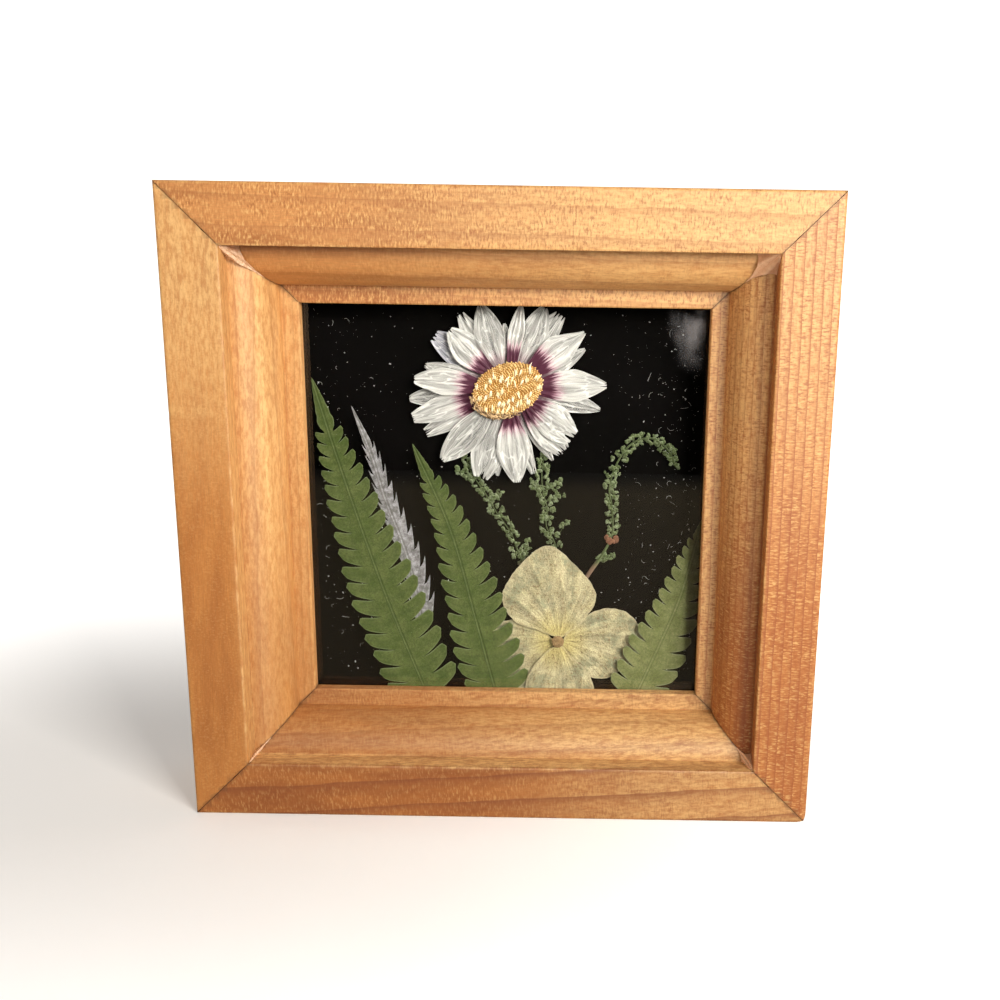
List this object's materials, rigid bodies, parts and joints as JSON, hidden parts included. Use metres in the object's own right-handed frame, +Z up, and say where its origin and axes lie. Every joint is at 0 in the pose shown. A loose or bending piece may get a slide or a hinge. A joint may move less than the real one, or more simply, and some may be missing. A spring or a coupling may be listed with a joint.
{
  "type": "pressed flower frame",
  "caption": "Small square wooden frame with a deep stepped moulding, holding dried ferns, a white daisy, a cream floret and green sprigs on black card behind glass.",
  "frame": {"origin": "middle of the underside of the bottom rail, on the surface that the frame stands on", "axes": "+Z up, -Y out of the picture's front, +Y out of the back, +X to the right as seen from the front"},
  "size_m": [0.14, 0.0286, 0.14],
  "materials": {
    "frame_wood": "orange-brown softwood with straight grain, satin wax finish",
    "pane_glass": "clear polished glass",
    "black_card": "matt black card",
    "backing_board": "plain brown hardboard",
    "steel_points": "bright rolled steel",
    "fern_green": "dried matt green leaf",
    "silver_leaf": "dried felted silver-grey leaf",
    "sprig_green": "dried dull green buds",
    "daisy_disc": "dried golden florets with cream tufts",
    "daisy_petal": "papery white petal, dark maroon at the root",
    "cream_sepal": "dried cream sepal with grey-green mottling",
    "cream_button": "dried tan-brown flower centre"
  },
  "bodies": {
    "root": {"rail_top": "frame_wood", "rail_bottom": "frame_wood", "rail_left": "frame_wood", "rail_right": "frame_wood", "glass_pane": "pane_glass", "mount_card": "black_card", "backing_board": "backing_board", "point_bottom_1": "steel_points", "point_bottom_2": "steel_points", "point_right_1": "steel_points", "point_right_2": "steel_points", "point_top_1": "steel_points", "point_top_2": "steel_points", "point_left_1": "steel_points", "point_left_2": "steel_points", "fern_left": "fern_green", "fern_middle": "fern_green", "fern_right": "fern_green", "silver_leaf": "silver_leaf", "sprig_left": "sprig_green", "sprig_middle": "sprig_green", "sprig_right": "sprig_green", "daisy_disc": "daisy_disc", "daisy_petal_01": "daisy_petal", "daisy_petal_02": "daisy_petal", "daisy_petal_03": "daisy_petal", "daisy_petal_04": "daisy_petal", "daisy_petal_05": "daisy_petal", "daisy_petal_06": "daisy_petal", "daisy_petal_07": "daisy_petal", "daisy_petal_08": "daisy_petal", "daisy_petal_09": "daisy_petal", "daisy_petal_10": "daisy_petal", "daisy_petal_11": "daisy_petal", "daisy_petal_12": "daisy_petal", "daisy_petal_13": "daisy_petal", "daisy_petal_14": "daisy_petal", "daisy_petal_15": "daisy_petal", "daisy_petal_16": "daisy_petal", "daisy_petal_17": "daisy_petal", "daisy_petal_18": "daisy_petal", "daisy_petal_19": "daisy_petal", "daisy_petal_20": "daisy_petal", "daisy_petal_21": "daisy_petal", "daisy_petal_22": "daisy_petal", "daisy_petal_23": "daisy_petal", "daisy_petal_24": "daisy_petal", "daisy_petal_25": "daisy_petal", "cream_sepal_top": "cream_sepal", "cream_sepal_right": "cream_sepal", "cream_sepal_bottom": "cream_sepal", "cream_sepal_left": "cream_sepal", "cream_button": "cream_button"}
  },
  "joints": []
}
